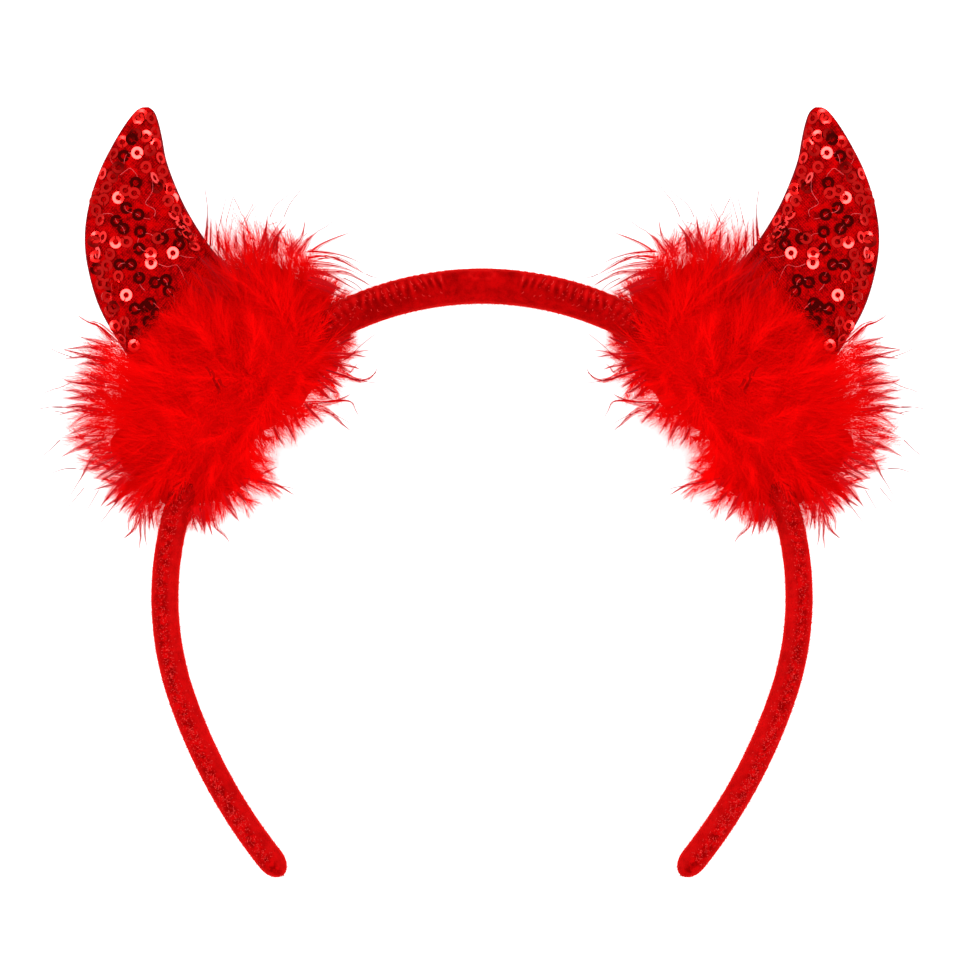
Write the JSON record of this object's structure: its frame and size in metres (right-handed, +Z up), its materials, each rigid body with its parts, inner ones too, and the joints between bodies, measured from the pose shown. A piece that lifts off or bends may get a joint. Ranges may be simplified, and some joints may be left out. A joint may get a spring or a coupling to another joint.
{
  "type": "devil horns headband",
  "caption": "Slim velvet-covered headband with curved, padded, sequined devil horns, each standing in a fluffy marabou feather trim.",
  "frame": {"origin": "middle of the bounding box at its bottom, on the surface that the headband lies on", "axes": "+Z up, the way the horns' fronts face as it lies on its back; +Y towards the crown of the band and the horns' tips; +X to the viewer's right, across the band from leg to leg, the longest way"},
  "size_m": [0.1914, 0.1754, 0.0324],
  "materials": {
    "velvet": "red velvet, sewn round the band, matt with a soft sheen",
    "sequined_knit": "dark red fine knit with flat glossy red ring sequins",
    "horn_felt": "matt red felt",
    "marabou": "bright red marabou down"
  },
  "bodies": {
    "root": {"band": "velvet", "horn_left_front": "sequined_knit", "horn_right_front": "sequined_knit", "horn_left_back": "horn_felt", "horn_right_back": "horn_felt", "marabou_left": "marabou", "marabou_right": "marabou"}
  },
  "joints": []
}
